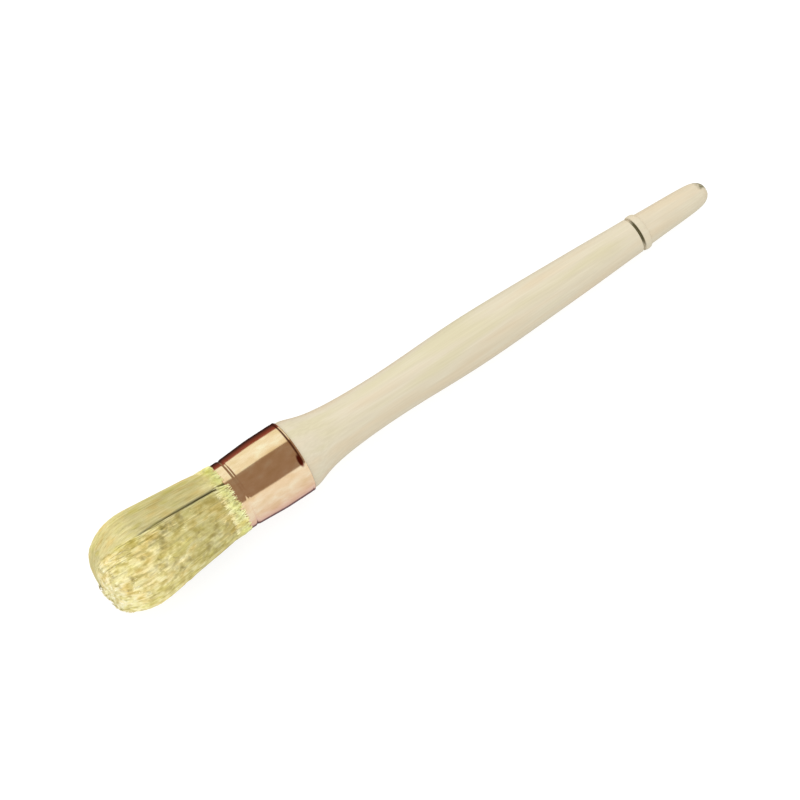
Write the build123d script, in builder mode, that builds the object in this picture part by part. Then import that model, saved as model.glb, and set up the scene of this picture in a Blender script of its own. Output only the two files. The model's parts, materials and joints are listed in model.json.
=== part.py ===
from build123d import *
import os
from math import atan, cos, pi, radians, sin

# Round dauber for shoe polish, in millimetres: a turned wood handle, a copper-plated ferrule and a
# domed tuft of bristle. It lies at rest on a table at Z = 0, with its tail towards +X.
# A distance named "at" runs along the brush from the edge where the ferrule meets the handle.

# Ferrule: straight over the handle, tapered over the bristles, crimped near its mouth
ferrule_diameter = 25.0
ferrule_mouth_diameter = 23.4
ferrule_length = 25.2
ferrule_wall = 0.45
ferrule_seat = 10.0
crimp_depth = 0.35
crimp_width = 1.6
crimp_inset = 3.8
fit_gap = 0.05

# Handle: spigot, flare, neck, swell and taper up to the groove
handle_length = 163.0
spigot_length = 7.6
spigot_chamfer = 0.6
neck_diameter = 15.5
neck_at = 37.5
swell_diameter = 16.8
swell_at = 70.0
shoulder_diameter = 12.0
flare_shares = [(0.45, 0.19), (0.12, 0.74)]

# Groove, collar and slim tail
tail_length = 28.7
tail_diameter = 11.1
tail_tip_diameter = 9.0
groove_width = 0.9
groove_diameter = 10.4
collar_diameter = 12.6
collar_width = 2.6
nose_length = 6.0
nose_bevel_length = 1.6
nose_bevel_diameter = 6.2
nose_flat_diameter = 3.6

# Tuft: a cone from the ferrule's mouth to the belly, then a dome, with a parting along the top
bristle_length = 48.3
dome_length = 16.0
belly_diameter = 31.2
belly_flat_depth = 0.5
tuft_lean = 2.0
strand_rings = 10
strands_per_ring_step = 6
strand_size_share = 0.52
strand_tip_share = 0.45
ragged_length = 1.6
dome_angle = 64.0
ring_turn = 137.5
parting_gap = 1.0
parting_angle = 82.0

# Inside the ferrule: resin bed, plug and the slice of glued butts
setting_length = 7.4
slice_thickness = 2.5
strand_sink = 1.0
plug_diameter = 7.5
plug_length = 4.5

# Tacks through the ferrule into the spigot
tack_diameter = 1.2
tack_depth = 5.0
tack_head_diameter = 2.6
tack_head_height = 0.6
tack_head_bevel = 0.25
tack_angles = (-15.0, -115.0)
drill_overrun = 1.0

# Radii and stations that follow from the sizes
ferrule_radius = ferrule_diameter / 2
mouth_radius = ferrule_mouth_diameter / 2
spigot_radius = ferrule_radius - ferrule_wall - fit_gap
belly_radius = belly_diameter / 2
shoulder_radius = shoulder_diameter / 2
collar_radius = collar_diameter / 2
groove_at = handle_length - tail_length
shoulder_at = groove_at - groove_width / 2
collar_start = groove_at + groove_width / 2
collar_at = collar_start + collar_width / 2
tail_start = collar_start + collar_width
tip_at = ferrule_length + bristle_length
belly_at = tip_at - dome_length
crimp_at = ferrule_length - crimp_inset
slice_back = spigot_length + setting_length
slice_front = slice_back + slice_thickness

neck_radius = neck_diameter / 2
swell_run = (swell_at - neck_at) / 2
swell_rise = (swell_diameter - neck_diameter) / 4

# At rest the tail's collar touches the table, and so does the flattened belly or the ferrule
belly_reach = belly_radius - belly_flat_depth
belly_slope = (belly_reach - collar_radius) / (collar_at + belly_at)
ferrule_slope = (ferrule_radius - collar_radius) / collar_at
rest_slope = max(belly_slope, ferrule_slope)
rest_pitch = atan(rest_slope)
axis_height = (collar_radius + collar_at * rest_slope) * cos(rest_pitch)
axis_start = (tip_at - handle_length) / 2 * cos(rest_pitch)

# Profiles are drawn on this plane: its X runs along the brush to the tail, its Y is the radius
brush = Plane(
    origin=(axis_start, 0, axis_height),
    x_dir=(cos(rest_pitch), 0, -sin(rest_pitch)),
    z_dir=(0, -1, 0),
)
brush_axis = Axis(brush.origin, brush.x_dir)


def across(distance):
    """Plane across the brush, at a distance from the handle edge towards the tuft."""
    foot = brush.from_local_coords((-distance, 0, 0))
    return Plane(origin=foot, x_dir=(0, 1, 0), z_dir=brush.x_dir)


def sleeve_radius(distance):
    """Outer radius of the ferrule, uncrimped, at a distance from its handle edge."""
    share = (distance - ferrule_seat) / (ferrule_length - ferrule_seat)
    return ferrule_radius + (mouth_radius - ferrule_radius) * max(0, share)


def sleeve_outline(inset):
    """Half section of the ferrule's outer skin, drawn in by the inset and closed on the axis."""
    crimp_back = crimp_at - crimp_width / 2
    crimp_front = crimp_at + crimp_width / 2
    Polyline(
        (0, 0),
        (0, ferrule_radius - inset),
        (-ferrule_seat, ferrule_radius - inset),
        (-crimp_back, sleeve_radius(crimp_back) - inset),
        (-crimp_at, sleeve_radius(crimp_at) - crimp_depth - inset),
        (-crimp_front, sleeve_radius(crimp_front) - inset),
        (-ferrule_length, mouth_radius - inset),
        (-ferrule_length, 0),
        (0, 0),
    )


def fill_between(back, front):
    """Half section of what fills the ferrule between two stations, clear of its wall."""
    with BuildSketch(brush) as filling:
        with BuildLine():
            sleeve_outline(ferrule_wall + fit_gap)
        make_face()
        with Locations((-(back + front) / 2, 0)):
            Rectangle(front - back, ferrule_diameter, mode=Mode.INTERSECT)
    return filling.sketch


def tack_plane(angle, radius):
    """Plane square to the ray of that angle, at a radius over the middle of the spigot."""
    middle = across(spigot_length / 2)
    ray = middle.x_dir * cos(radians(angle)) + middle.y_dir * sin(radians(angle))
    return Plane(origin=middle.origin + ray * radius, x_dir=middle.z_dir, z_dir=ray)


# The strands spread evenly from the slice to the belly, so that they pass the crimp's throat
root_at = slice_front - strand_sink
throat_radius = sleeve_radius(crimp_at) - crimp_depth - ferrule_wall - fit_gap
mouth_share = (ferrule_length - root_at) / (belly_at - root_at)
root_radius = (throat_radius - belly_radius * mouth_share) / (1 - mouth_share)


def strand_section(angle, distance, radius, spread, push):
    """Corners of a strand's triangle where it crosses a plane, parted at the top and leaning aside."""
    here = across(distance)
    top = here.x_dir * cos(radians(parting_angle)) + here.y_dir * sin(radians(parting_angle))
    side = here.z_dir.cross(top)
    ahead = radius * cos(angle)
    aside = radius * sin(angle)
    shift = push * max(0, ahead / belly_radius) * (1 - abs(aside) / belly_radius)
    aside += shift if aside >= 0 else -shift
    lean = tuft_lean * max(0, (distance - ferrule_length) / bristle_length) ** 3
    middle = here.origin + top * ahead + side * aside - here.x_dir * lean
    size = strand_size_share * spread / strand_rings
    turns = [angle + pi + 2 * pi * i / 3 for i in range(3)]
    return [middle + top * size * cos(t) + side * size * sin(t) for t in turns]


def strand(ring, place, number):
    """One three-sided lock of bristle, from the slice by the belly to its tip on the dome."""
    count = max(1, ring * strands_per_ring_step)
    angle = 2 * pi * place / count + radians(ring_turn) * ring
    share = ring / (strand_rings + strand_size_share / 2)
    polar = radians(dome_angle) * ring / strand_rings
    ragged = ragged_length * (1 + sin(number ** 2)) / 2
    parted = parting_gap / 2
    stations = [
        (root_at, root_radius * share, root_radius, 0),
        (belly_at, belly_radius * share, belly_radius, parted),
        (
            belly_at + (dome_length - ragged) * cos(polar),
            belly_radius * sin(polar),
            belly_radius * strand_tip_share,
            parted,
        ),
    ]
    sections = [strand_section(angle, *station) for station in stations]
    skin = [Face(Wire.make_polygon(sections[0])), Face(Wire.make_polygon(sections[-1]))]
    for near, far in zip(sections, sections[1:]):
        for i in range(3):
            j = (i + 1) % 3
            skin.append(Face(Wire.make_polygon([near[i], near[j], far[j], far[i]])))
    lock = Solid(Shell(skin))
    if lock.bounding_box().min.Z < 0:
        lock = lock.split(Plane.XY, keep=Keep.TOP)
    return lock


def flare_point(share):
    """Point of the flare, at a share of its run from the rim and of its rise from the neck."""
    return (neck_at * share[0], neck_radius + (spigot_radius - neck_radius) * share[1])


with BuildPart() as handle:
    with BuildSketch(brush):
        with BuildLine():
            Polyline((0, spigot_radius), (-spigot_length, spigot_radius), (-spigot_length, 0))
            neck = (neck_at, neck_radius)
            hollow = TangentArc(neck, flare_point(flare_shares[0]), tangent=(-1, 0))
            flare = TangentArc(hollow @ 1, flare_point(flare_shares[1]), tangent=hollow % 1)
            TangentArc(flare @ 1, (0, spigot_radius), tangent=flare % 1)
            rise = TangentArc(neck, (neck_at + swell_run, neck_radius + swell_rise), tangent=(1, 0))
            crest_end = (swell_at + swell_run, neck_radius + swell_rise)
            crest = TangentArc(rise @ 1, crest_end, tangent=rise % 1)
            tail = Polyline(
                crest @ 1,
                (shoulder_at, shoulder_radius),
                (shoulder_at, groove_diameter / 2),
                (collar_start, groove_diameter / 2),
                (collar_start, shoulder_radius),
                (collar_at, collar_radius),
                (tail_start, tail_diameter / 2),
                (handle_length - nose_length, tail_tip_diameter / 2),
            )
            bevel_start = (handle_length - nose_bevel_length, nose_bevel_diameter / 2)
            TangentArc(tail @ 1, bevel_start, tangent=tail % 1)
            Polyline(
                bevel_start,
                (handle_length, nose_flat_diameter / 2),
                (handle_length, 0),
                (-spigot_length, 0),
            )
        make_face()
    revolve(axis=brush_axis)
    chamfer(handle.faces().sort_by(brush_axis)[0].edges(), spigot_chamfer)
    for angle in tack_angles:
        with BuildSketch(tack_plane(angle, ferrule_radius)):
            Circle(tack_diameter / 2 + fit_gap)
        extrude(amount=-(ferrule_wall + tack_depth + fit_gap), mode=Mode.SUBTRACT)

with BuildPart() as ferrule:
    with BuildSketch(brush):
        with BuildLine():
            sleeve_outline(0)
        make_face()
        with BuildLine():
            sleeve_outline(ferrule_wall)
        make_face(mode=Mode.SUBTRACT)
    revolve(axis=brush_axis)
    for angle in tack_angles:
        with BuildSketch(tack_plane(angle, ferrule_radius + drill_overrun)):
            Circle(tack_diameter / 2 + fit_gap)
        extrude(amount=-(ferrule_wall + 2 * drill_overrun), mode=Mode.SUBTRACT)

with BuildPart() as centre_plug:
    with BuildSketch(across(slice_back)):
        Circle(plug_diameter / 2)
    extrude(amount=plug_length)

with BuildPart() as resin_setting:
    add(fill_between(spigot_length, slice_back))
    revolve(axis=brush_axis)
    with BuildSketch(across(slice_back)):
        Circle(plug_diameter / 2 + fit_gap)
    extrude(amount=plug_length + fit_gap, mode=Mode.SUBTRACT)

# The strands stand in rings, each ring with six more than the ring inside it
strands = [strand(0, 0, 0)]
for ring in range(1, strand_rings + 1):
    for place in range(ring * strands_per_ring_step):
        strands.append(strand(ring, place, len(strands)))
print(len(strands), "strands")

with BuildPart() as bristles:
    add(fill_between(slice_back, slice_front))
    revolve(axis=brush_axis)
    add(strands)

with BuildPart() as ferrule_tacks:
    for angle in tack_angles:
        seat = tack_plane(angle, ferrule_radius + fit_gap)
        with BuildSketch(seat):
            Circle(tack_diameter / 2)
        extrude(amount=-(ferrule_wall + tack_depth))
        with BuildSketch(seat):
            Circle(tack_head_diameter / 2)
        extrude(amount=tack_head_height)
        crown = ferrule_tacks.faces().sort_by(Axis(seat.origin, seat.z_dir))[-1]
        chamfer(crown.edges(), tack_head_bevel)

os.makedirs("parts", exist_ok=True)

handle.part.label = "handle"
export_step(handle.part, "parts/handle.step")

ferrule.part.label = "ferrule"
export_step(ferrule.part, "parts/ferrule.step")

bristles.part.label = "bristles"
export_step(bristles.part, "parts/bristles.step")

resin_setting.part.label = "resin_setting"
export_step(resin_setting.part, "parts/resin_setting.step")

centre_plug.part.label = "centre_plug"
export_step(centre_plug.part, "parts/centre_plug.step")

ferrule_tacks.part.label = "ferrule_tacks"
export_step(ferrule_tacks.part, "parts/ferrule_tacks.step")
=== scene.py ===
# %% [markdown]
# # A round dauber for shoe polish
# The brush lies on a pale table: a turned wooden handle, a copper-plated ferrule and a domed tuft
# of bleached bristle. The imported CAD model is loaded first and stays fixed. Each visible piece is
# then made in the same frame, in metres, and placed where the CAD says.

# %% Load the fixed frame
import json
import math

import bpy
import numpy as np
from mathutils import Matrix, Vector

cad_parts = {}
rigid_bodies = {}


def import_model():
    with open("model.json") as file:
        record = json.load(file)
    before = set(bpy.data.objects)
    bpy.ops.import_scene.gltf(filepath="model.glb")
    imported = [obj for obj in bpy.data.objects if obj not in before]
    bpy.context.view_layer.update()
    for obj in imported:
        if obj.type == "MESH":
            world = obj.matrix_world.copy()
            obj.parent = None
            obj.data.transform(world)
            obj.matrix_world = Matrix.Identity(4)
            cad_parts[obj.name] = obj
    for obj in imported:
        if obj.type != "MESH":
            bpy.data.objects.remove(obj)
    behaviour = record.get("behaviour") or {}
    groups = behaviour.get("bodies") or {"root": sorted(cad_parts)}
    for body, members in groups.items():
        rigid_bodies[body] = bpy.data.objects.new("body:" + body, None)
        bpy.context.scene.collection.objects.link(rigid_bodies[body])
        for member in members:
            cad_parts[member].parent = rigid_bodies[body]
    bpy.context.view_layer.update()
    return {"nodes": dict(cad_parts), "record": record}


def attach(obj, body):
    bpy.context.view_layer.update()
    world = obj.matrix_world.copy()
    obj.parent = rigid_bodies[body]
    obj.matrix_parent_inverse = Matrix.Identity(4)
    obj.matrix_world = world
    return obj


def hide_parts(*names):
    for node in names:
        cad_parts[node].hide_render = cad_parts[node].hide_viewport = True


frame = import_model()
print("CAD nodes:", sorted(frame["nodes"]))

# %% [markdown]
# The brush doesn't lie level, because its tuft is thicker than its tail. A second set of
# directions follows it: along the brush to the tail, across it to the side, and up from it. The
# record's mount on the tail end gives its slope, and stations are counted in millimetres from the
# ferrule's edge at the handle: plus towards the tail, minus towards the tuft.

# %% Directions of the brush
MM = 0.001
HANDLE_LENGTH = 163 * MM
tail_mount = next(m for m in frame["record"]["mounts"] if m["name"] == "tail_end")
along = Vector(tail_mount["axis"]).normalized()
side = Vector((0, 1, 0))
lift = along.cross(side)
rim_centre = Vector(tail_mount["pos_m"]) - along * HANDLE_LENGTH
brush_matrix = Matrix.Translation(rim_centre) @ Matrix((along, side, lift)).transposed().to_4x4()
slope = math.atan2(-along.z, along.x)
print("slope of the brush:", round(math.degrees(slope), 2), "degrees")

# %% [markdown]
# Real pieces are judged under one light, so the camera comes first. It stands where the
# photographer stood: high over the tuft's end, with a long lens, so that the brush runs from the
# lower left to the upper right. Its place was fitted to the rims of the ferrule, the collar and
# the two ends of the brush.

# %% Camera
CAMERA_AZIMUTH = math.radians(-35.27)
CAMERA_ELEVATION = math.radians(71.24)
CAMERA_DISTANCE = 955 * MM
AIM_HEIGHT = 10 * MM
AIM_LEFT = 3.0 * MM
AIM_DOWN = 5.87 * MM
back = Vector((
    math.sin(CAMERA_AZIMUTH) * math.cos(CAMERA_ELEVATION),
    -math.cos(CAMERA_AZIMUTH) * math.cos(CAMERA_ELEVATION),
    math.sin(CAMERA_ELEVATION),
))
right = Vector((math.cos(CAMERA_AZIMUTH), math.sin(CAMERA_AZIMUTH), 0))
above = back.cross(right)
aim = Vector((0, 0, AIM_HEIGHT)) - right * AIM_LEFT - above * AIM_DOWN

camera_data = bpy.data.cameras.new("studio_camera")
camera_data.lens = 135
camera_data.sensor_width = 36
camera_data.clip_start = 0.05
camera = bpy.data.objects.new("studio_camera", camera_data)
bpy.context.scene.collection.objects.link(camera)
camera.location = aim + back * CAMERA_DISTANCE
camera.rotation_mode = "QUATERNION"
camera.rotation_quaternion = (-back).to_track_quat("-Z", "Y")
bpy.context.scene.camera = camera
print("camera at", [round(c, 3) for c in camera.location])

# %% [markdown]
# Materials are built from nodes. One function turns the hex colours of a paint chart into the
# linear numbers that the renderer counts with, and one adds a node with its settings and links.
# A finish is then painted in layers, as a varnisher does: each layer lies over those below it,
# mixed in or multiplied, by a factor that says where it lies and how thick.

# %% Helpers for materials
def hex_colour(code):
    """Linear colour for an sRGB hex code."""
    levels = [int(code[i:i + 2], 16) / 255 for i in (1, 3, 5)]
    linear = [v / 12.92 if v <= 0.04045 else ((v + 0.055) / 1.055) ** 2.4 for v in levels]
    return (*linear, 1)


def add_node(tree, kind, inputs=(), stops=(), **settings):
    """Node with its settings. An input is a value or an output to link from; stops are a ramp's."""
    node = tree.nodes.new(kind)
    for name, value in settings.items():
        setattr(node, name, value)
    for name, value in dict(inputs).items():
        if isinstance(value, bpy.types.NodeSocket):
            tree.links.new(value, node.inputs[name])
        else:
            node.inputs[name].default_value = value
    if stops:
        while len(node.color_ramp.elements) < len(stops):
            node.color_ramp.elements.new(0.5)
        for element, (position, colour) in zip(node.color_ramp.elements, stops):
            element.position = position
            element.color = hex_colour(colour) if isinstance(colour, str) else colour
    return node


def new_material(name):
    """Empty material with its shader and output joined, as (material, tree, shader)."""
    material = bpy.data.materials.new(name)
    material.use_nodes = True
    tree = material.node_tree
    tree.nodes.clear()
    shader = add_node(tree, "ShaderNodeBsdfPrincipled")
    add_node(tree, "ShaderNodeOutputMaterial", {"Surface": shader.outputs["BSDF"]})
    return material, tree, shader


# Sockets of a Mix node that mixes colours: its factor, its two colours and its result.
FACTOR, BELOW, ABOVE, MIXED = 0, 6, 7, 2


def painted(tree, colour, layers):
    """Colour with layers over it, each given as (factor, colour, way of blending)."""
    for factor, layer, blending in layers:
        colour = add_node(
            tree,
            "ShaderNodeMix",
            {FACTOR: factor, BELOW: colour, ABOVE: layer},
            data_type="RGBA",
            blend_type=blending,
        ).outputs[MIXED]
    return colour


# %% [markdown]
# Grain runs along the brush, and stains sit at stations on it. Three vector nodes move, turn and
# scale the Object coordinates into the brush's own directions, in millimetres, so that every
# pattern is laid out with a ruler: x is the station, y and z run across. A pattern that is tied to
# a place is cut out by bands of stations and of angles.

# %% Coordinates of the brush for patterns
def brush_coordinates(tree):
    """Place on the brush in millimetres, as a vector output."""
    place = add_node(tree, "ShaderNodeTexCoord").outputs["Object"]
    shifted = add_node(
        tree, "ShaderNodeVectorMath", {0: place, 1: rim_centre}, operation="SUBTRACT"
    )
    turned = add_node(
        tree,
        "ShaderNodeVectorRotate",
        {"Vector": shifted.outputs[0], "Angle": -slope},
        rotation_type="Y_AXIS",
    )
    scaled = add_node(
        tree, "ShaderNodeVectorMath", {0: turned.outputs[0], "Scale": 1 / MM}, operation="SCALE"
    )
    return scaled.outputs[0]


def stretched_noise(tree, place, sizes, detail=3.0, roughness=0.5):
    """Noise whose patches have those sizes in millimetres along, across and up the brush."""
    shrunk = add_node(
        tree,
        "ShaderNodeVectorMath",
        {0: place, 1: [1 / s for s in sizes]},
        operation="MULTIPLY",
    )
    return add_node(
        tree,
        "ShaderNodeTexNoise",
        {"Vector": shrunk.outputs[0], "Scale": 1.0, "Detail": detail, "Roughness": roughness},
    ).outputs["Fac"]


def band(tree, station, start, end, edge):
    """1 between two stations or angles and 0 outside them, softened over an edge."""
    rise, fall = [
        add_node(
            tree,
            "ShaderNodeMapRange",
            {
                "Value": station, "From Min": middle - edge, "From Max": middle + edge,
                "To Min": before, "To Max": after,
            },
            interpolation_type="SMOOTHSTEP",
        ).outputs[0]
        for middle, before, after in ((start, 0, 1), (end, 1, 0))
    ]
    return add_node(tree, "ShaderNodeMath", {0: rise, 1: fall}, operation="MULTIPLY").outputs[0]


def angle_round(tree, place):
    """Angle round the brush's axis in radians, from the far side over the top, as an output."""
    parts = add_node(tree, "ShaderNodeSeparateXYZ", {0: place})
    return add_node(
        tree, "ShaderNodeMath", {0: parts.outputs["Z"], 1: parts.outputs["Y"]}, operation="ARCTAN2"
    ).outputs[0]


# %% [markdown]
# The handle is limewood, a pale and nearly grainless wood, turned on a lathe, sanded and given a
# thin clear lacquer. That gives a cream surface with faint long streaks and a soft, blurred
# shine. Its fibres show as streaks about half a millimetre wide and 30 mm long. Shade is painted
# into the colour as dark olive in two places: in the groove, on its upper and near side, and on
# the far side and top of the tail's end, where the rounded end turns away from the light.

# %% Limewood under clear lacquer
limewood, tree, shader = new_material("limewood_clear_lacquer")
place = brush_coordinates(tree)
station = add_node(tree, "ShaderNodeSeparateXYZ", {0: place}).outputs["X"]
fibres = stretched_noise(tree, place, (30, 0.55, 0.55), detail=4)
fibre_colour = add_node(
    tree,
    "ShaderNodeValToRGB",
    {"Fac": fibres},
    stops=[(0.3, "#C0B69F"), (0.52, "#C4BAA3"), (0.75, "#C8BFA9")],
).outputs["Color"]
broad = stretched_noise(tree, place, (45, 6, 6), detail=2)
broad_colour = add_node(
    tree,
    "ShaderNodeValToRGB",
    {"Fac": broad},
    stops=[(0.35, "#FAFBF0"), (0.5, "#FFFFFF"), (0.65, "#FFF9F3")],
).outputs["Color"]
# Painted shade: the groove's dark line, on its upper and near side.
GROOVE_STATIONS, GROOVE_ANGLES = (133.8, 134.8, 0.1), (1.0, 2.7, 0.35)
# Painted shade: a dark patch on the far side and top of the tail's end, where the rounded end turns
# away from the light.
TAIL_SHADE_STATIONS, TAIL_SHADE_ANGLES = (160.4, 170, 0.8), (0.0, 1.7, 0.3)
painted_groove_shade, tail_shade_place = [
    add_node(
        tree,
        "ShaderNodeMath",
        {0: band(tree, station, *stations), 1: band(tree, angle_round(tree, place), *angles)},
        operation="MULTIPLY",
    ).outputs[0]
    for stations, angles in (
        (GROOVE_STATIONS, GROOVE_ANGLES),
        (TAIL_SHADE_STATIONS, TAIL_SHADE_ANGLES),
    )
]
# Noise breaks up the edge of the painted shade on the tail's end.
tail_shade_noise = stretched_noise(tree, place, (1.6, 1.6, 1.6), detail=2)
tail_shade_share = add_node(
    tree,
    "ShaderNodeMapRange",
    {"Value": tail_shade_noise, "From Min": 0.3, "From Max": 0.55, "To Max": 0.85},
).outputs[0]
painted_tail_shade = add_node(
    tree, "ShaderNodeMath", {0: tail_shade_place, 1: tail_shade_share}, operation="MULTIPLY"
).outputs[0]
# Over the fibres lie the broad patches, then painted shade in the groove and on the tail's end.
wood_colour = painted(tree, fibre_colour, [
    (1.0, broad_colour, "MULTIPLY"),
    (painted_groove_shade, hex_colour("#5E5636"), "MIX"),
    (painted_tail_shade, hex_colour("#5F5C3C"), "MIX"),
])
tree.links.new(wood_colour, shader.inputs["Base Color"])
wood_bump = add_node(
    tree, "ShaderNodeBump", {"Height": fibres, "Strength": 0.12, "Distance": 0.05 * MM}
)
tree.links.new(wood_bump.outputs[0], shader.inputs["Normal"])
shader.inputs["Roughness"].default_value = 0.5
shader.inputs["IOR"].default_value = 1.5
print("material:", limewood.name)

# %% [markdown]
# Things with a round section are drawn as half an outline and spun about the axis, as a lathe
# would turn them. The outline has only the points where the shape changes, with two close
# together where an edge is crisp, and a Subdivision Surface rounds it between them. A ring of 32
# corners is drawn in a little by the subdivision, so the outline is made that much larger first.

# %% Turning on the lathe
SIDES = 32
DRAWN_IN = (2 + math.cos(2 * math.pi / SIDES)) / 3
MERGE_DISTANCE = 0.02 * MM


def deselect_all():
    """Nothing is selected or active, so an operator acts only on what comes next."""
    if bpy.context.view_layer.objects.active is not None:
        bpy.context.view_layer.objects.active = None
    for thing in bpy.context.scene.objects:
        thing.select_set(False)


def start_vertex(name, x, radius):
    """Object in edit mode with one selected vertex: a plane merged to a point on the outline."""
    deselect_all()
    bpy.ops.mesh.primitive_plane_add(size=MM, location=(0, 0, 0))
    piece = bpy.context.active_object
    piece.name = piece.data.name = name
    bpy.ops.object.mode_set(mode="EDIT")
    bpy.ops.mesh.merge(type="CENTER")
    bpy.ops.transform.translate(value=(x * MM, 0, radius / DRAWN_IN * MM))
    return piece


def turn(name, outline, closed=False):
    """Piece turned about the brush's axis from an outline of (station, radius), in millimetres."""
    piece = start_vertex(name, *outline[0])
    steps = outline[1:] + outline[:1] if closed else outline[1:]
    here = outline[0]
    for there in steps:
        step = ((there[0] - here[0]) * MM, 0, (there[1] - here[1]) / DRAWN_IN * MM)
        bpy.ops.mesh.extrude_region_move(TRANSFORM_OT_translate={"value": step})
        here = there
    bpy.ops.mesh.select_all(action="SELECT")
    bpy.ops.mesh.spin(steps=SIDES, angle=2 * math.pi, center=(0, 0, 0), axis=(1, 0, 0))
    bpy.ops.mesh.select_all(action="SELECT")
    bpy.ops.mesh.remove_doubles(threshold=MERGE_DISTANCE)
    bpy.ops.mesh.normals_make_consistent(inside=False)
    bpy.ops.object.mode_set(mode="OBJECT")
    return piece


def finish_turned(piece, material, levels=2):
    """Rounds a turned piece, shades it smooth and puts it where the brush lies."""
    smooth = piece.modifiers.new("Subdivision", "SUBSURF")
    smooth.levels = smooth.render_levels = levels
    bpy.ops.object.modifier_apply(modifier=smooth.name)
    bpy.ops.object.shade_smooth()
    piece.data.transform(brush_matrix)
    piece.data.materials.append(material)
    print(piece.name, "has", len(piece.data.polygons), "faces")


# %% [markdown]
# The handle flares from a slim neck up to the ferrule's rim, swells where the fingers hold it and
# tapers to a groove and a small collar. Past the collar the tail is a slim cone with a rounded
# end. Its widths were measured on the photograph every few millimetres.

# %% Handle
handle_outline = [
    (-2.0, 0.0), (-2.0, 11.6), (-1.8, 11.95), (0.0, 12.0), (1.6, 11.93), (3.4, 11.45), (5.4, 10.75),
    (7.6, 10.05), (10.4, 9.4), (14.0, 8.85), (18.4, 8.4), (24.0, 8.05), (31.0, 7.8), (39.0, 7.72),
    (48.0, 7.92), (58.0, 8.27), (68.0, 8.43), (78.0, 8.25), (88.0, 7.93), (99.0, 7.5), (110.0, 7.08),
    (120.0, 6.64), (128.0, 6.2), (132.6, 6.02), (133.7, 6.0), (133.83, 5.97), (133.93, 5.35),
    (134.05, 5.2), (134.55, 5.2), (134.67, 5.35), (134.78, 6.05), (134.9, 6.18), (135.5, 6.3),
    (136.4, 6.3), (137.0, 6.15), (137.3, 5.9), (137.45, 5.6), (137.9, 5.54), (142.0, 5.3),
    (148.0, 5.05), (153.5, 4.78), (157.0, 4.55), (159.3, 4.25), (161.0, 3.75), (162.2, 2.95),
    (162.8, 2.25), (162.98, 1.9), (163.0, 1.6), (163.0, 0.0),
]
handle = turn("handle_wood_turned", handle_outline)
finish_turned(handle, limewood)
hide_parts("handle")
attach(handle, "root")

# %% [markdown]
# The ferrule is thin steel, spun to shape and plated with copper, then tumbled until it shines.
# Polished copper is nearly a mirror: its colour comes only from what it reflects, so it needs a
# low roughness and a studio with light and dark parts around it. Fine tumbling marks blur the
# mirror a little, unevenly. The shade in the bead at the rim is painted into the colour as a
# brown band over its upper side, and one darker spot of painted shade thickens it.

# %% Polished copper plate
copper, tree, shader = new_material("polished_copper_plate")
place = brush_coordinates(tree)
station = add_node(tree, "ShaderNodeSeparateXYZ", {0: place}).outputs["X"]
clouds = stretched_noise(tree, place, (5, 2.5, 2.5), detail=4)
plate_colour = add_node(
    tree,
    "ShaderNodeValToRGB",
    {"Fac": clouds},
    stops=[(0.3, "#EFC3A6"), (0.5, "#F8CEB8"), (0.68, "#FDDCCB")],
).outputs["Color"]
# Painted shade: a brown band in the bead at the rim, over its upper side.
painted_rim_shade = add_node(
    tree,
    "ShaderNodeMath",
    {
        0: band(tree, station, -1.15, -0.55, 0.25),
        1: band(tree, angle_round(tree, place), 0.6, 2.1, 0.15),
    },
    operation="MULTIPLY",
).outputs[0]
FERRULE_RADIUS = 12.5
# Painted shade: one darker spot on the rim's band, where the shade in the bead is widest.
SPOT_STATION = -1.4
SPOT_ANGLE = math.radians(116)
spot_place = Vector((
    SPOT_STATION, FERRULE_RADIUS * math.cos(SPOT_ANGLE), FERRULE_RADIUS * math.sin(SPOT_ANGLE)
))
spot_offset = add_node(
    tree, "ShaderNodeVectorMath", {0: place, 1: spot_place}, operation="SUBTRACT"
).outputs[0]
spot_offset = add_node(
    tree, "ShaderNodeVectorMath", {0: spot_offset, 1: (1.25, 0.45, 0.45)}, operation="MULTIPLY"
).outputs[0]
spot_distance = add_node(
    tree, "ShaderNodeVectorMath", {0: spot_offset}, operation="LENGTH"
).outputs["Value"]
painted_rim_spot_shade = add_node(
    tree,
    "ShaderNodeMapRange",
    {"Value": spot_distance, "From Min": 0.65, "From Max": 1.25, "To Min": 1, "To Max": 0},
    interpolation_type="SMOOTHSTEP",
).outputs[0]
plate_colour = painted(tree, plate_colour, [
    (painted_rim_shade, hex_colour("#7C4430"), "MIX"),
    (painted_rim_spot_shade, hex_colour("#7A3024"), "MIX"),
])
tree.links.new(plate_colour, shader.inputs["Base Color"])
marks = stretched_noise(tree, place, (0.8, 0.3, 0.3), detail=5, roughness=0.6)
plate_roughness = add_node(
    tree,
    "ShaderNodeMapRange",
    {"Value": marks, "From Min": 0.3, "From Max": 0.7, "To Min": 0.07, "To Max": 0.14},
)
tree.links.new(plate_roughness.outputs[0], shader.inputs["Roughness"])
shader.inputs["Metallic"].default_value = 1.0
print("material:", copper.name)

# %% [markdown]
# The sleeve is one thin wall, so its outline goes along the outside, round the mouth and back
# along the inside, and closes on itself. A fine bead stiffens the rim at the handle, and a rolled
# crimp near the mouth grips the bristles.

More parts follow.
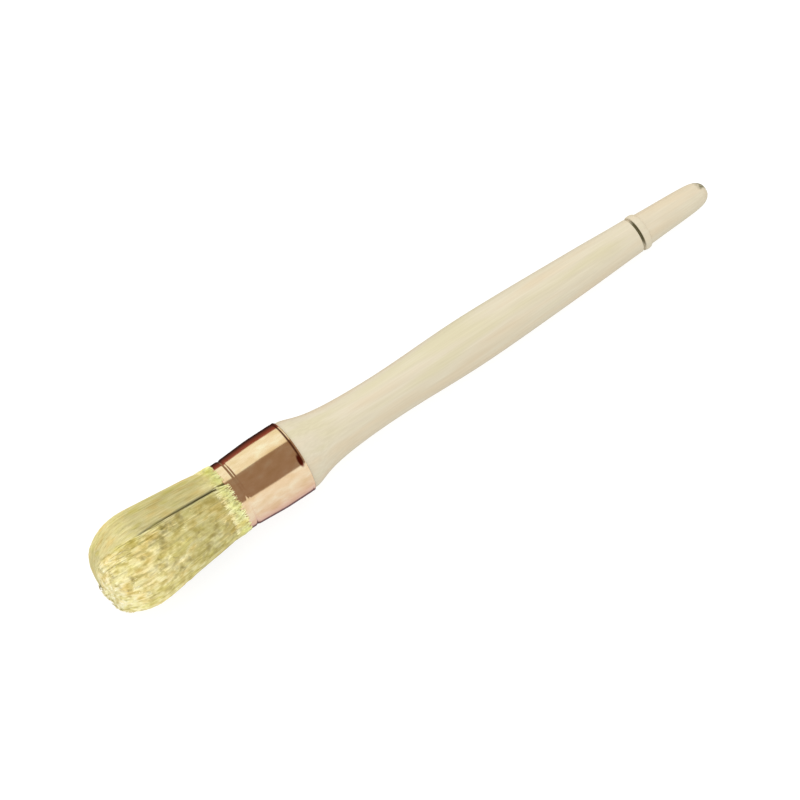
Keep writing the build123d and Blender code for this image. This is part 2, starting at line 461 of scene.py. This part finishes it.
# %% Ferrule
ferrule_outline = [
    (-0.02, 12.08), (-0.02, 12.3), (-0.06, 12.46), (-0.2, 12.5), (-0.42, 12.5), (-0.6, 12.42),
    (-0.75, 12.4), (-0.95, 12.47), (-1.4, 12.5), (-5.0, 12.5), (-9.0, 12.5), (-10.5, 12.48),
    (-12.3, 12.38), (-15.5, 12.16), (-18.6, 11.97), (-19.9, 11.9), (-20.3, 11.88), (-20.6, 11.82),
    (-21.0, 11.6), (-21.25, 11.53), (-21.5, 11.58), (-21.9, 11.79), (-22.2, 11.83), (-24.6, 11.73),
    (-25.0, 11.7), (-25.17, 11.62), (-25.2, 11.5), (-25.17, 11.36), (-24.95, 11.28), (-23.4, 11.26),
    (-21.3, 11.05), (-19.8, 11.42), (-18.0, 11.6), (-12.0, 11.95), (-9.0, 12.05), (-4.0, 12.05),
]
ferrule = turn("ferrule_copper_sleeve", ferrule_outline, closed=True)
finish_turned(ferrule, copper)
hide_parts("ferrule")
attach(ferrule, "root")

# %% [markdown]
# The tuft is bleached hog bristle. Each bristle is a stiff pale-yellow hair that thins to its
# tip, and thousands of them shade each other. Attributes of the mesh keep how pale each bristle
# is (tone), how deep in shade it lies (shade) and whether it grows on the shaggy side (shaggy).
# Where the shaggy side's bristles part, one looks into the shade between them: olive gaps and
# slits a few millimetres long, drawn by Voronoi textures.

# %% Bleached bristle
bristle, tree, shader = new_material("bleached_hog_bristle")
place = brush_coordinates(tree)
station = add_node(tree, "ShaderNodeSeparateXYZ", {0: place}).outputs["X"]
tone, shade, shaggy = [
    add_node(tree, "ShaderNodeAttribute", attribute_name=name).outputs["Fac"]
    for name in ("tone", "shade", "shaggy")
]
on_combed_lock = add_node(
    tree, "ShaderNodeMath", {0: 0.08, 1: shaggy}, operation="SUBTRACT", use_clamp=True
).outputs[0]
near_mouth = band(tree, station, -28.0, -20, 1.5)
streaks = stretched_noise(tree, place, (24, 0.8, 0.8), detail=3)
tints = stretched_noise(tree, place, (7, 3.5, 3.5), detail=2)
# On the shaggy side this noise multiplies in painted shade, the shade between short tufts of cut
# ends.
tuft_shade_noise = stretched_noise(tree, place, (3.0, 2.0, 2.0), detail=2)
hair_colour, streak_colour, tint_colour, painted_tuft_shade = [
    add_node(tree, "ShaderNodeValToRGB", {"Fac": factor}, stops=stops).outputs["Color"]
    for factor, stops in (
        (tone, [
            (0.0, "#9D9566"), (0.3, "#C4BD89"), (0.5, "#DDD5A4"), (0.75, "#F3ECC0"),
            (1.0, "#FFFDEE"),
        ]),
        (streaks, [(0.3, "#EDEAD4"), (0.5, "#FBFAF2"), (0.7, "#FFFFFF")]),
        (tints, [(0.32, "#F7F6D6"), (0.5, "#FFFFFF"), (0.68, "#FFF5DE")]),
        (tuft_shade_noise, [(0.36, "#E0D8B0"), (0.5, "#F8F5E4"), (0.6, "#FFFFFF")]),
    )
]

# %% [markdown]
# The gaps aren't perfectly round or straight, so the coordinates are first wavered by a noise.
# Each Voronoi cell then has one gap at its middle: the round ones lie on the first half of the
# tuft, and the long slits, which slant, on the half towards the tip.

# %% Gaps between the shaggy bristles
WAVER = 5
waver = add_node(
    tree, "ShaderNodeTexNoise", {"Vector": place, "Scale": 0.5, "Detail": 1.0}
).outputs["Color"]
waver = add_node(
    tree, "ShaderNodeVectorMath", {0: waver, 1: (0.5, 0.5, 0.5)}, operation="SUBTRACT"
).outputs[0]
wavy = add_node(
    tree, "ShaderNodeVectorMath", {0: waver, 1: [WAVER] * 3, 2: place}, operation="MULTIPLY_ADD"
).outputs[0]
gaps = []
for name, sizes, slant, nearest, farthest, darkest, start, end in (
    ("round gaps", (4.0, 3.2, 3.2), 0.0, 0.05, 0.5, 0.7, -56, -20),
    ("long slits", (7.0, 2.8, 2.8), 0.5, 0.05, 0.3, 0.6, -72, -44),
):
    slanted = add_node(
        tree, "ShaderNodeVectorRotate", {"Vector": wavy, "Angle": slant}, rotation_type="Z_AXIS"
    ).outputs[0]
    cells = add_node(
        tree, "ShaderNodeVectorMath", {0: slanted, 1: [1 / s for s in sizes]}, operation="MULTIPLY"
    ).outputs[0]
    middles = add_node(tree, "ShaderNodeTexVoronoi", {"Vector": cells, "Scale": 1.0}, label=name)
    gap = add_node(
        tree,
        "ShaderNodeMapRange",
        {
            "Value": middles.outputs["Distance"], "From Min": nearest, "From Max": farthest,
            "To Min": darkest, "To Max": 0,
        },
        interpolation_type="SMOOTHSTEP",
    ).outputs[0]
    for factor in (shaggy, band(tree, station, start, end, 8)):
        gap = add_node(tree, "ShaderNodeMath", {0: gap, 1: factor}, operation="MULTIPLY").outputs[0]
    gaps.append(gap)

# After the tones and tints, painted shade is laid over: the gaps, the noise on the shaggy side and
# the shade attribute.
hair_colour = painted(tree, hair_colour, [
    (on_combed_lock, hex_colour("#F4F2EC"), "MIX"),
    (1.0, streak_colour, "MULTIPLY"),
    (1.0, tint_colour, "MULTIPLY"),
    (near_mouth, hex_colour("#F5FBE0"), "MULTIPLY"),
    *((gap, hex_colour("#A59968"), "MIX") for gap in gaps),
    (shaggy, painted_tuft_shade, "MULTIPLY"),
    (shade, hex_colour("#3E3618"), "MIX"),
])
tree.links.new(hair_colour, shader.inputs["Base Color"])
shader.inputs["Roughness"].default_value = 0.6
shader.inputs["IOR"].default_value = 1.55
print("material:", bristle.name)

# %% [markdown]
# One bristle is modelled: a thin cone of three sides, cut into eight runs so that it can
# bend. It is a unit long and a unit in radius. Every copy is laid along its own path and scaled to
# 0.2 to 0.4 mm across, a little coarser than real hog bristle, so that it shows in the render.
#
# One fault is left here. The cone's points lie from -0.5 to 0.5, so its runs count from -4 to 4,
# and numpy reads a negative place from the far end of a path. The thick half of each copy lies on
# its path's last bends and the thin half on its first. One run goes straight from the tip back to
# the root, inside the tuft, and the run between the fifth and sixth bends is left out. Half a unit
# added to the height before it is multiplied would lay the whole bristle from root to tip.

# %% The master bristle
RUNS = 8
deselect_all()
bpy.ops.mesh.primitive_cone_add(
    vertices=3, radius1=1.0, radius2=0.35, depth=1.0, end_fill_type="NGON", location=(0, 0, 0.5)
)
master = bpy.context.active_object
master.name = "master_bristle"
bpy.ops.object.mode_set(mode="EDIT")
bpy.ops.mesh.select_mode(type="EDGE")
bpy.ops.mesh.select_all(action="DESELECT")
bpy.ops.object.mode_set(mode="OBJECT")
for edge in master.data.edges:
    ends = [master.data.vertices[i].co.z for i in edge.vertices]
    edge.select = abs(ends[0] - ends[1]) > 0.5
bpy.ops.object.mode_set(mode="EDIT")
bpy.ops.mesh.subdivide(number_cuts=RUNS - 1)
bpy.ops.mesh.select_all(action="SELECT")
bpy.ops.mesh.quads_convert_to_tris()
bpy.ops.object.mode_set(mode="OBJECT")
master_points = np.array([v.co for v in master.data.vertices])
master_faces = np.array([p.vertices for p in master.data.polygons])
master_run = np.rint(master_points[:, 2] * RUNS).astype(int)
bpy.data.objects.remove(master)
print("master bristle:", len(master_points), "points,", len(master_faces), "faces")

# %% [markdown]
# The tuft's outline is measured on the photograph too: it bulges as soon as it leaves the mouth,
# is widest near the belly and closes in a dome. The outline is stored by its own length, so that
# a bristle can follow it from the mouth over the dome.

# %% Outline of the tuft
MOUTH = 25.2
TIP = 73.2
BELLY = 57.5
DOME_DEPTH = 3.2
outline_at, outline_radius = np.transpose([
    (23.0, 11.0), (25.2, 11.2), (28.0, 11.9), (34.0, 12.8), (40.0, 13.4), (47.0, 14.2),
    (54.0, 15.1), (57.5, 15.4), (60.5, 15.3), (63.5, 14.8), (66.5, 13.7), (69.0, 12.2),
    (71.0, 10.4), (72.3, 7.8), (72.9, 4.8), (73.2, 0.0),
])
round_the_dome = np.cos(np.linspace(0, math.pi / 2, 80))
fine_at = np.concatenate([np.linspace(23, 70, 200), TIP - DOME_DEPTH * round_the_dome ** 2])
fine_radius = np.interp(fine_at, outline_at, outline_radius)
for _ in range(30):
    fine_radius[1:-1] = (fine_radius[:-2] + 2 * fine_radius[1:-1] + fine_radius[2:]) / 4
steps = np.hypot(np.diff(fine_at), np.diff(fine_radius))
outline_length = np.concatenate([[0], np.cumsum(steps)])


def on_outline(length):
    """Station and radius at a length along the tuft's outline."""
    station = np.interp(length, outline_length, fine_at)
    radius = np.interp(length, outline_length, fine_radius)
    return station, radius


def length_at(station):
    """Length along the outline where it passes a station."""
    return np.interp(station, fine_at, outline_length)


print("outline of the tuft is", round(outline_length[-1], 1), "mm long")

# %% [markdown]
# Every bristle is given as a path in the brush's own terms: how far from the handle's rim, how
# far from the axis and at which angle round it. This function bends a copy of the master along
# each path and joins a group of them into one piece. Its arrays have a row for each bristle and
# a column for each bend, and a look that is the same all along has one column. Nothing goes below
# the table: the bristles there are pressed flat, as the weight of the brush presses them, and lie
# on one another at heights that a sine of their number scatters.

# %% Growing bristles along paths
LEAN = 1.5
LOWEST = 0.02
PRESSED_HEIGHT = 0.25
SCATTER = 12.9898


def grow(name, distance, radius, angle, width, **looks):
    """Piece of bristles along paths; looks are attributes such as tone, shade and shaggy."""
    count = len(distance)
    ray = np.cos(angle)[..., None] * np.array(side) + np.sin(angle)[..., None] * np.array(lift)
    across = np.sin(angle)[..., None] * np.array(side) - np.cos(angle)[..., None] * np.array(lift)
    lean = LEAN * (np.clip(distance - MOUTH, 0, None) / (TIP - MOUTH)) ** 3
    path = np.array(rim_centre) / MM - distance[..., None] * np.array(along)
    path = path + radius[..., None] * ray - lean[..., None] * np.array(side)
    offset = master_points[None, :, 0:1] * ray[:, master_run]
    offset = offset + master_points[None, :, 1:2] * across[:, master_run]
    points = path[:, master_run] + offset * width[:, None, None]
    floor = LOWEST + PRESSED_HEIGHT * np.abs(np.sin(np.arange(count) * SCATTER))[:, None]
    points[..., 2] = np.maximum(points[..., 2], floor)
    points = points.reshape(-1, 3) * MM
    size = len(master_points)
    faces = (master_faces[None] + (np.arange(count) * size)[:, None, None]).reshape(-1, 3)
    mesh = bpy.data.meshes.new(name)
    mesh.from_pydata(points, [], faces)
    for label, values in looks.items():
        at_bends = np.broadcast_to(values, distance.shape)[:, master_run]
        layer = mesh.attributes.new(label, "FLOAT", "POINT")
        layer.data.foreach_set("value", at_bends.ravel().astype(np.float32))
    mesh.materials.append(bristle)
    piece = bpy.data.objects.new(name, mesh)
    bpy.context.scene.collection.objects.link(piece)
    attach(piece, "root")
    print(name, "has", count, "bristles,", len(faces), "triangles")
    return piece


# %% [markdown]
# The photograph shows the tuft parted by one dark line. On the far side of it lies a smooth
# combed lock, whose bristles follow the outline to the tip. They are grown from the mouth with
# small differences in depth, length and direction, because perfectly even ones look like plastic.

# %% Combed lock
PARTING = math.radians(82)
LOCK_END = math.radians(-45)
ROOT = 23.6
PARTING_DIP = 0.7
PARTING_SHADE = 0.85
bends = np.array([0.0, 0.2, 0.44, 0.56, 0.66, 0.75, 0.84, 0.92, 1.0])
dice = np.random.default_rng(7)


def uneven(count):
    """Places of the bends along each bristle, a little different on each so that none line up."""
    shift = dice.uniform(-0.45, 0.45, count)[:, None]
    steps = np.diff(bends)
    between = np.where(shift > 0, np.append(steps, 0), np.insert(steps, 0, 0))
    return np.clip(bends + shift * between, 0, 1)


def parting_limit(distance):
    """Angle kept free on each side of the parting: widest near the belly, then it closes."""
    return np.interp(distance, [24, 30, 44, 52, 58, 66], [0.02, 0.022, 0.026, 0.014, 0.0, -0.08])


def seam(distance):
    """Angle of the parting: it runs straight, and over the dome it wanders to the far side."""
    return PARTING - np.interp(distance, [57, 64, 70, 73], [0, 0.12, 0.3, 0.45])


def beside_parting(distance, angle, radius):
    """1 next to the parting, falling to 0 about a millimetre from it and towards the tip."""
    gap = np.abs(angle - seam(distance)) * radius
    return np.exp(-((gap / 0.55) ** 2)) * np.clip((60 - distance) / 10, 0, 1)


def sunk(radius, dip):
    """Radius drawn in where bristles dip into the parting, and never quite on the axis."""
    return np.clip(radius - PARTING_DIP * dip, 0.2, None)


def end_notch(angle):
    """How much shorter the bristles are where the two halves of the dome don't quite meet."""
    return 0.9 * np.exp(-(((angle - PARTING) / 0.35) ** 2))


def combed_lock(count, deepest):
    """Paths of a combed lock from the parting round to its far end."""
    start = dice.uniform(LOCK_END, PARTING - 0.015, count)
    depth = deepest * dice.uniform(0, 1, count) ** 1.4
    end_length = dice.uniform(length_at(66), length_at(73.1), count) - end_notch(start)
    begin = length_at(ROOT)
    length = begin + (end_length - begin)[:, None] * uneven(count)
    distance, radius = on_outline(length)
    radius = radius - depth[:, None] * (0.4 + 0.6 * bends)
    angle = start[:, None] + dice.normal(0, 0.025, count)[:, None] * bends ** 2
    angle = np.minimum(angle, seam(distance) - parting_limit(distance))
    dip = beside_parting(distance, angle, radius)
    return distance, sunk(radius, dip), angle, depth, dip


def combed_tone(distance):
    """Paleness along the lock: pale at the mouth, and again over the dome."""
    return np.interp(distance, [25, 29, 40, 48, 58, 72], [0.66, 0.44, 0.34, 0.40, 0.56, 0.50])


LOCK_THICKNESS = 1.3
distance, radius, angle, depth, dip = combed_lock(3900, LOCK_THICKNESS)
deep_shade = (depth / LOCK_THICKNESS * 0.15 - 0.05)[:, None]
combed = grow(
    "tuft_combed_lock",
    distance,
    radius,
    angle,
    width=dice.uniform(0.10, 0.15, len(depth)),
    tone=np.clip(dice.normal(0, 0.06, len(depth))[:, None] + combed_tone(distance), 0, 1),
    shade=np.clip(deep_shade + PARTING_SHADE * dip, 0, 1),
    shaggy=np.zeros((len(depth), 1)),
)
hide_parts("bristles")

# %% [markdown]
# The rest of the tuft is shaggy. Under it lies an even layer of bristles, and over that lie short
# wisps whose tips stand off a little. The tips are split and bleached, so they are paler, most of
# all at the dome.

# %% Shaggy under-layer
SHAGGY_SPAN = (PARTING + 0.015, LOCK_END + 2 * math.pi)


def paleness(distance, angle):
    """How pale bristles are: darkest past the mouth, palest at the tip and most on its lower side."""
    to_table = np.clip((angle - math.radians(110)) / math.radians(60), 0, 1)
    to_tip = np.clip((distance - 55) / 15, 0, 1)
    along_tuft = np.interp(
        distance, [25, 38, 48, 56, 64, 72], [0.42, 0.34, 0.50, 0.63, 0.64, 0.86]
    )
    return along_tuft + 0.04 * to_tip * to_table


def under_side(distance, angle):
    """Shade on the side that the tuft lies on, near the ferrule."""
    turned_under = np.clip((angle - math.radians(178)) / 0.2, 0, 1)
    return 0.3 * turned_under * np.clip((56 - distance) / 14, 0, 1)


def beyond_seam(distance, angle):
    """Angles of the shaggy side, drawn along where the seam wanders and kept off the parting."""
    drawn = (seam(distance) - PARTING) * np.exp(-np.clip(angle - PARTING, 0, None) / 0.6)
    return np.maximum(angle + drawn, seam(distance) + parting_limit(distance))


def under_layer(count, deepest):
    """Paths of the layer that the wisps lie on."""
    start = dice.uniform(*SHAGGY_SPAN, count)
    depth = 0.1 + (deepest - 0.1) * dice.uniform(0, 1, count) ** 1.6
    end_length = dice.uniform(length_at(60), length_at(73.1), count) - end_notch(start)
    begin = length_at(ROOT)
    length = begin + (end_length - begin)[:, None] * uneven(count)
    distance, radius = on_outline(length)
    radius = radius - depth[:, None] * (0.35 + 0.65 * np.minimum(1, bends * 3))
    angle = start[:, None] + dice.normal(0, 0.05, count)[:, None] * bends ** 2
    angle = beyond_seam(distance, angle)
    dip = beside_parting(distance, angle, radius)
    return distance, sunk(radius, dip), angle, depth, dip


LAYER_THICKNESS = 1.6
distance, radius, angle, depth, dip = under_layer(3900, LAYER_THICKNESS)
deep_shade = (depth / LAYER_THICKNESS * 0.12 - 0.05)[:, None]
grow(
    "tuft_under_layer",
    distance,
    radius,
    angle,
    width=dice.uniform(0.12, 0.18, len(depth)),
    tone=np.clip(dice.normal(-0.03, 0.07, len(depth))[:, None] + paleness(distance, angle), 0, 1),
    shade=np.clip(deep_shade + PARTING_SHADE * dip + under_side(distance, angle), 0, 1),
    shaggy=np.ones((len(depth), 1)),
)

# %% [markdown]
# A wisp is ten bristles that start spread out and run to one tip. The wisps are laid from the
# mouth to the dome, and each turns by the golden section of the shaggy side from the one before,
# which covers a surface evenly without rows.

# %% Wisps
GOLDEN_SECTION = 0.6180339887


def wisps(count, hairs):
    """Paths of short wisps, spread evenly over the shaggy side."""
    number = np.arange(count)
    turn_share = (number * GOLDEN_SECTION) % 1
    wisp_angle = SHAGGY_SPAN[0] + (SHAGGY_SPAN[1] - SHAGGY_SPAN[0]) * turn_share
    wisp_end = 28 + 44.6 * (number + 0.5) / count + dice.uniform(-1.2, 1.2, count)
    wisp_angle = wisp_angle + dice.uniform(-0.05, 0.05, count)
    wisp_length = np.minimum(dice.uniform(4, 9, count), (wisp_end - 24) * 0.95)
    turned = dice.normal(0, 0.25, count)
    flick = dice.uniform(0, 0.35, count)
    rows = np.repeat(number, hairs)
    total = len(rows)
    end_length = length_at(np.clip(wisp_end[rows] + dice.normal(0, 0.6, total), 26.5, 73.0))
    begin = end_length - wisp_length[rows] * dice.uniform(0.8, 1.15, total)
    begin = np.maximum(begin, length_at(24.0))
    length = begin[:, None] + (end_length - begin)[:, None] * bends
    distance, radius = on_outline(length)
    sink = 0.3 * (1 - bends) ** 1.5
    longer = dice.uniform(-0.5, 0.7, count) * (wisp_end > 64)
    distance = distance + longer[rows][:, None] * bends ** 3
    stands_off = flick[rows][:, None] * bends ** 3
    radius = radius - 0.25 - sink - dice.uniform(0, 0.25, total)[:, None] + stands_off
    radius = np.clip(radius, 0.2, None)
    sideways = dice.uniform(-1.1, 1.1, total)[:, None] * (1 - bends)
    sideways = sideways + dice.normal(0, 0.25, total)[:, None] * bends
    drift = np.tan(turned[rows])[:, None] * (end_length - begin)[:, None]
    sideways = sideways + drift * bends ** 2 * 0.5
    angle = wisp_angle[rows][:, None] + sideways / np.maximum(radius, 3)
    angle = beyond_seam(distance, angle)
    dip = beside_parting(distance, angle, radius)
    tone = dice.normal(-0.03, 0.05, count)[rows] + dice.normal(0, 0.05, total)
    tone = np.clip(tone[:, None] + 0.12 * bends ** 3 + paleness(distance, angle), 0, 1)
    shade = PARTING_SHADE * dip + under_side(distance, angle) + 0.08 * (1 - bends) ** 2
    return distance, sunk(radius, dip), angle, tone, np.clip(shade, 0, 1)


distance, radius, angle, tone, shade = wisps(390, 10)
grow(
    "tuft_wisps",
    distance,
    radius,
    angle,
    width=dice.uniform(0.10, 0.16, len(distance)),
    tone=tone,
    shade=shade,
    shaggy=np.ones((1, 1)),
)

# %% [markdown]
# At the mouth the outermost bristles are crowded over the ferrule's edge. Short broken ones lie
# across the edge on the copper, so that it looks ragged, as in the photograph. They are paler and
# greener than the rest, and on the combed lock they are neater.

# %% Fringe at the mouth
LAID_SHARE = 0.35
ON_COPPER = 11.82
IN_MOUTH = 11.15


def fringe(count):
    """Paths of short bristles that bulge over the mouth, a third of them laid on the copper."""
    start = dice.uniform(LOCK_END, SHAGGY_SPAN[1], count)
    start = start + np.where(np.abs(start - PARTING) < 0.05, 0.1, 0)
    ragged = start > PARTING
    laid = dice.uniform(0, 1, count) < LAID_SHARE
    foot = np.where(laid, 24.9 - dice.uniform(0, 1, count) * np.where(ragged, 1.2, 0.5), 24.6)
    reach = dice.uniform(2.2, 5.0, count)
    distance = foot[:, None] + reach[:, None] * bends
    outline_here = np.interp(distance, outline_at, outline_radius)
    low = np.where(laid, ON_COPPER, IN_MOUTH)[:, None]
    low = low + np.where(laid[:, None], 0.25, 0.9) * bends ** 0.6
    radius = np.maximum(outline_here, low) + dice.uniform(-0.1, 0.12, count)[:, None]
    turned = dice.normal(0, 1, count) * np.where(ragged, 0.07, 0.02)
    angle = start[:, None] + turned[:, None] * bends
    tone = dice.normal(0.95, 0.1, count)
    return distance, radius, angle, np.clip(tone, 0, 1)[:, None] - 0.2 * bends


distance, radius, angle, tone = fringe(1500)
grow(
    "tuft_fringe",
    distance,
    radius,
    angle,
    width=dice.uniform(0.09, 0.15, len(distance)),
    tone=tone,
    shade=under_side(distance, angle),
    shaggy=np.full((1, 1), 0.4),
)

# %% [markdown]
# Seen from its end, the tuft is a dome of cut tips. The bristles of its heart are straight, and
# each stops where it meets the dome, a little unevenly. Their ends are split and paler. One clump
# near the middle is over a millimetre too long, as the photograph shows at the tip.

# %% Heart of the tuft
GOLDEN_ANGLE = math.radians(137.508)
HEART_RADIUS = 15.3
HEART_ROOT = 24
CLUMP_ANGLE = math.radians(195)


def heart(count):
    """Paths of the straight bristles inside the tuft."""
    number = np.arange(count)
    share = np.sqrt((number + 0.5) / count) * 0.93
    start = number * GOLDEN_ANGLE
    from_axis = share * HEART_RADIUS
    dome = fine_at > BELLY
    end = np.interp(from_axis, fine_radius[dome][::-1], fine_at[dome][::-1])
    to_side = from_axis * np.cos(start - CLUMP_ANGLE)
    in_clump = np.exp(-(((to_side - 2.6) / 1.6) ** 2)) * np.exp(-(((from_axis - 4.6) / 1.5) ** 2))
    end = end - dice.uniform(0, 1.2, count) - 0.5 + 1.6 * in_clump
    distance = HEART_ROOT + (end - HEART_ROOT)[:, None] * bends
    radius = share[:, None] * np.interp(distance, [HEART_ROOT, BELLY, 74], [10.9, HEART_RADIUS, 15.6])
    angle = start[:, None] + dice.normal(0, 0.02, count)[:, None] * bends
    return distance, radius, angle


distance, radius, angle = heart(3800)
grow(
    "tuft_heart",
    distance,
    radius,
    angle,
    width=dice.uniform(0.14, 0.2, len(distance)),
    tone=np.clip(dice.normal(0.75, 0.08, len(distance))[:, None] + 0.25 * bends ** 6, 0, 1),
    shade=np.clip(0.9 - 1.8 * bends ** 2, 0, 1)[None],
    shaggy=np.full((1, 1), 0.4),
)

# %% [markdown]
# The resin bed and the wooden plug sit inside the ferrule, and two steel tacks go through its
# wall. Their CAD shapes are right, so they stay and only get their finishes: cast resin is
# glossy and amber, a raw beech dowel is dull with a fine grain, and drawn steel is bright.

# %% Resin, plug and tacks
epoxy = {"Roughness": 0.25, "IOR": 1.55}
beech = {"Roughness": 0.7, "IOR": 1.5}
steel = {"Metallic": 1.0, "Roughness": 0.3}
for node, finish, sizes, dark, light, settings in (
    ("resin_setting", "cast_epoxy_resin", (2, 2, 2), "#8A6A35", "#A8874C", epoxy),
    ("centre_plug", "beech_dowel_raw", (8, 0.4, 0.4), "#C49A6C", "#D9B78C", beech),
    ("ferrule_tacks", "bright_drawn_steel", (0.3, 0.3, 0.3), "#A9A7A2", "#C6C4BF", steel),
):
    material, tree, shader = new_material(finish)
    marks = stretched_noise(tree, brush_coordinates(tree), sizes)
    colour = add_node(
        tree, "ShaderNodeValToRGB", {"Fac": marks}, stops=[(0.3, dark), (0.7, light)]
    ).outputs["Color"]
    tree.links.new(colour, shader.inputs["Base Color"])
    for name, value in settings.items():
        shader.inputs[name].default_value = value
    frame["nodes"][node].data.materials.clear()
    frame["nodes"][node].data.materials.append(material)
    print(node, "is finished as", finish)

# %% [markdown]
# The brush lies on a light table: a sheet of white opal acrylic, lit from below. Photographers of
# goods use one because it takes the shadow away, as here. It is far larger than the brush, so no
# edge of it shows, and it isn't part of the object.

# %% Light table
acrylic, tree, shader = new_material("opal_acrylic_lit_from_below")
shader.inputs["Base Color"].default_value = hex_colour("#8C8C8C")
shader.inputs["Roughness"].default_value = 0.6
shader.inputs["IOR"].default_value = 1.49
shader.inputs["Emission Color"].default_value = hex_colour("#FFFFFF")
shader.inputs["Emission Strength"].default_value = 0.78
deselect_all()
bpy.ops.mesh.primitive_plane_add(size=4, location=(0, 0, 0))
table = bpy.context.active_object
table.name = "table_top"
table.data.materials.append(acrylic)
table.visible_glossy = False

# %% [markdown]
# The studio is a white tent, which lights the brush evenly from all sides. In such a tent
# polished copper would look like white card, so the photographer leaves strips of the tent open.
# The strips run along the brush and show in the copper as one brown and one dark band. Only
# reflections see them here: the rest of the light stays even. They are places round the brush, in
# degrees from the far side over the top, with the light there. Light isn't paint, so it is given
# as linear numbers and may pass 1. The tent's ends are brown on the far side too.

# %% Studio light
world = bpy.data.worlds.new("studio_tent")
bpy.context.scene.world = world
world.use_nodes = True
tree = world.node_tree
tree.nodes.clear()
direction = add_node(tree, "ShaderNodeTexCoord").outputs["Generated"]
parts = add_node(tree, "ShaderNodeSeparateXYZ", {0: direction})
turn_angle = add_node(
    tree, "ShaderNodeMath", {0: parts.outputs["Z"], 1: parts.outputs["Y"]}, operation="ARCTAN2"
)
turn_share = add_node(
    tree,
    "ShaderNodeMapRange",
    {"Value": turn_angle.outputs[0], "From Min": -math.pi, "From Max": math.pi},
)
STRIPS = [
    (-180, (0.88, 1.03, 0.87)), (-150, (0.81, 0.87, 0.73)), (-125, (0.76, 0.74, 0.68)),
    (-110, (0.66, 0.60, 0.60)), (-106, (0.22, 0.15, 0.17)), (-74, (0.02, 0.01, 0.01)),
    (-40, (0.06, 0.025, 0.02)), (-9, (0.32, 0.10, 0.06)), (-5, (0.94, 1.12, 0.83)),
    (25, (0.98, 1.22, 0.98)), (56, (0.90, 1.02, 0.72)), (58, (0.314, 0.254, 0.15)),
    (139, (0.314, 0.254, 0.16)), (141, (0.92, 1.04, 0.84)), (180, (0.88, 1.03, 0.87)),
]
strips = add_node(
    tree,
    "ShaderNodeValToRGB",
    {"Fac": turn_share.outputs[0]},
    stops=[((degrees + 180) / 360, (*light, 1)) for degrees, light in STRIPS],
).outputs["Color"]
ends = add_node(tree, "ShaderNodeMath", {0: parts.outputs["X"]}, operation="ABSOLUTE")
end_share = add_node(
    tree, "ShaderNodeMapRange", {"Value": ends.outputs[0], "From Min": 0.25, "From Max": 0.42}
)
far_side = add_node(
    tree, "ShaderNodeMapRange", {"Value": parts.outputs["Y"], "From Min": -0.45, "From Max": -0.1}
)
end_share = add_node(
    tree, "ShaderNodeMath", {0: end_share.outputs[0], 1: far_side.outputs[0]}, operation="MULTIPLY"
)
tent_colour = painted(tree, strips, [(end_share.outputs[0], (0.285, 0.22, 0.13, 1), "MIX")])
seen = add_node(tree, "ShaderNodeBackground", {"Color": tent_colour, "Strength": 1.0})
even = add_node(tree, "ShaderNodeBackground", {"Color": (1, 1, 1, 1), "Strength": 1.25})
is_glossy = add_node(tree, "ShaderNodeLightPath").outputs["Is Glossy Ray"]
tent = add_node(tree, "ShaderNodeMixShader", {0: is_glossy, 1: even.outputs[0], 2: seen.outputs[0]})
add_node(tree, "ShaderNodeOutputWorld", {"Surface": tent.outputs[0]})

# %% [markdown]
# One large soft lamp above the far side gives the brush its gentle shading, from bright on the
# upper edge to greyer below. The view transform is Standard, so that the white stays white.

# %% Soft key lamp
lamp_data = bpy.data.lights.new("soft_key_lamp", "AREA")
lamp_data.shape = "DISK"
lamp_data.size = 0.8
lamp_data.energy = 3.0
lamp = bpy.data.objects.new("soft_key_lamp", lamp_data)
bpy.context.scene.collection.objects.link(lamp)
lamp.location = (0.05, 0.45, 0.9)
lamp.rotation_mode = "QUATERNION"
lamp.rotation_quaternion = lamp.location.to_track_quat("Z", "Y")
lamp.visible_glossy = False
bpy.context.scene.view_settings.view_transform = "Standard"
print("lamp of", lamp_data.energy, "watts")
